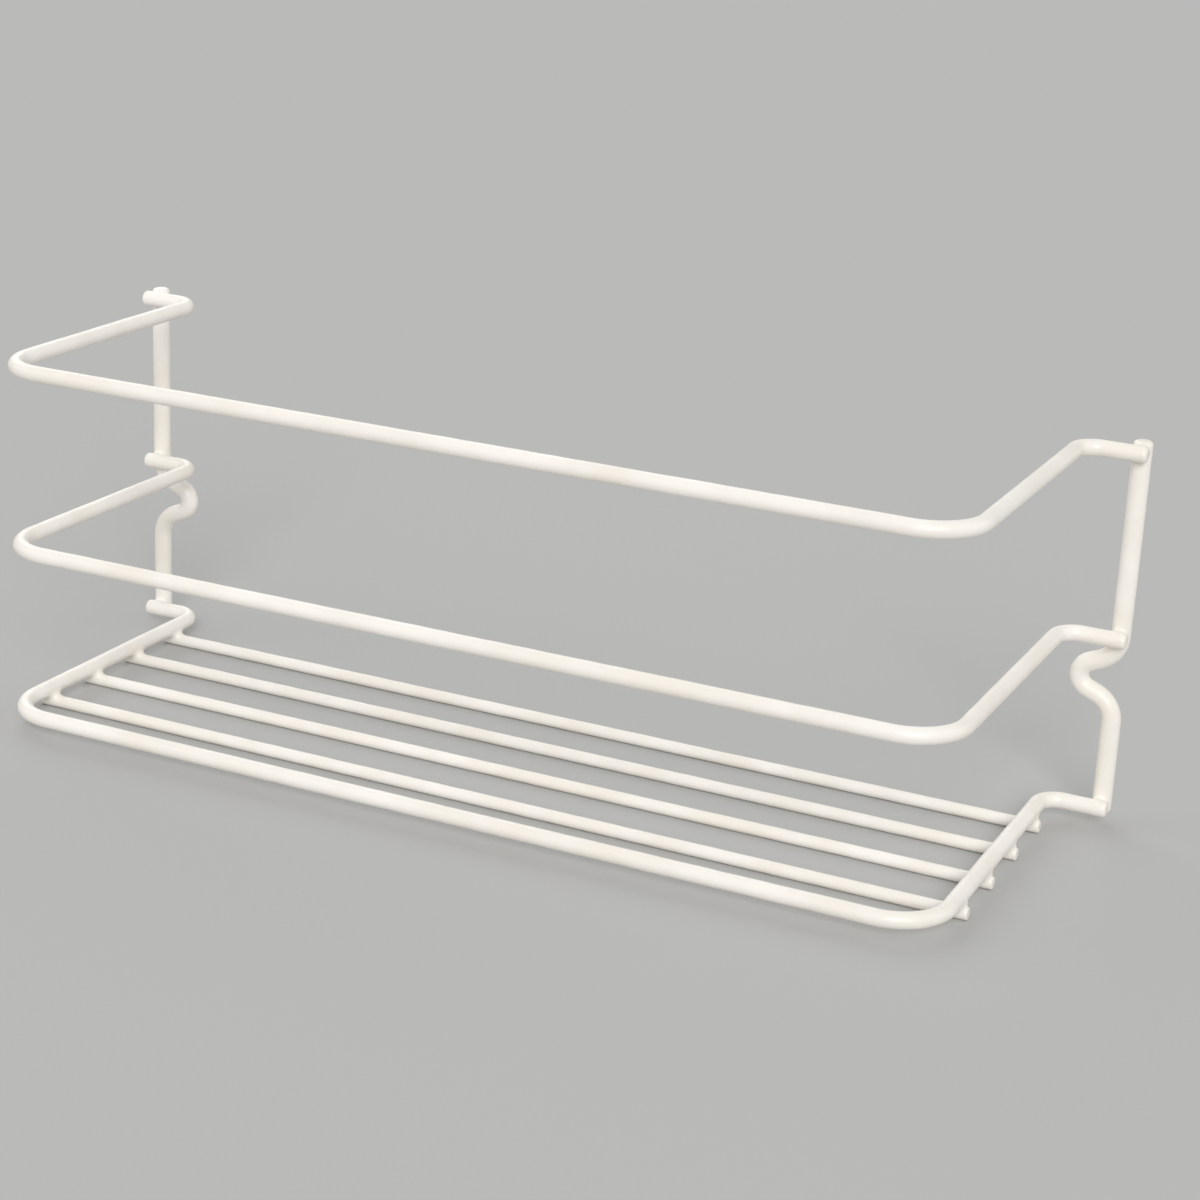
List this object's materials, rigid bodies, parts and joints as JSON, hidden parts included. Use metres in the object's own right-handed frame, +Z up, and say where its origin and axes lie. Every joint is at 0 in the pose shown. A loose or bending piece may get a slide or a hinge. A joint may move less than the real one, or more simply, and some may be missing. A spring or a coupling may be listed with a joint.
{
  "type": "cabinet rack",
  "caption": "Welded off-white coated wire rack for the inside of a cabinet door, with two guard rails, a slatted wire floor and a looped post at each side for a screw.",
  "frame": {"origin": "centre of the footprint on the surface that the floor wires stand on", "axes": "+X along the cabinet door, +Y towards the door, +Z up"},
  "size_m": [0.3592, 0.1221, 0.1243],
  "materials": {
    "top_rail_coating": "thick off-white semi-gloss coating over steel wire",
    "middle_rail_coating": "thick off-white semi-gloss coating over steel wire",
    "bottom_frame_coating": "thick off-white semi-gloss coating over steel wire",
    "left_post_coating": "thick off-white semi-gloss coating over steel wire",
    "right_post_coating": "thick off-white semi-gloss coating over steel wire",
    "floor_wire_1_coating": "thick off-white semi-gloss coating over steel wire",
    "floor_wire_2_coating": "thick off-white semi-gloss coating over steel wire",
    "floor_wire_3_coating": "thick off-white semi-gloss coating over steel wire",
    "floor_wire_4_coating": "thick off-white semi-gloss coating over steel wire"
  },
  "bodies": {
    "root": {"top_rail": "top_rail_coating", "middle_rail": "middle_rail_coating", "bottom_frame": "bottom_frame_coating", "left_post": "left_post_coating", "right_post": "right_post_coating", "floor_wire_1": "floor_wire_1_coating", "floor_wire_2": "floor_wire_2_coating", "floor_wire_3": "floor_wire_3_coating", "floor_wire_4": "floor_wire_4_coating"}
  },
  "joints": []
}
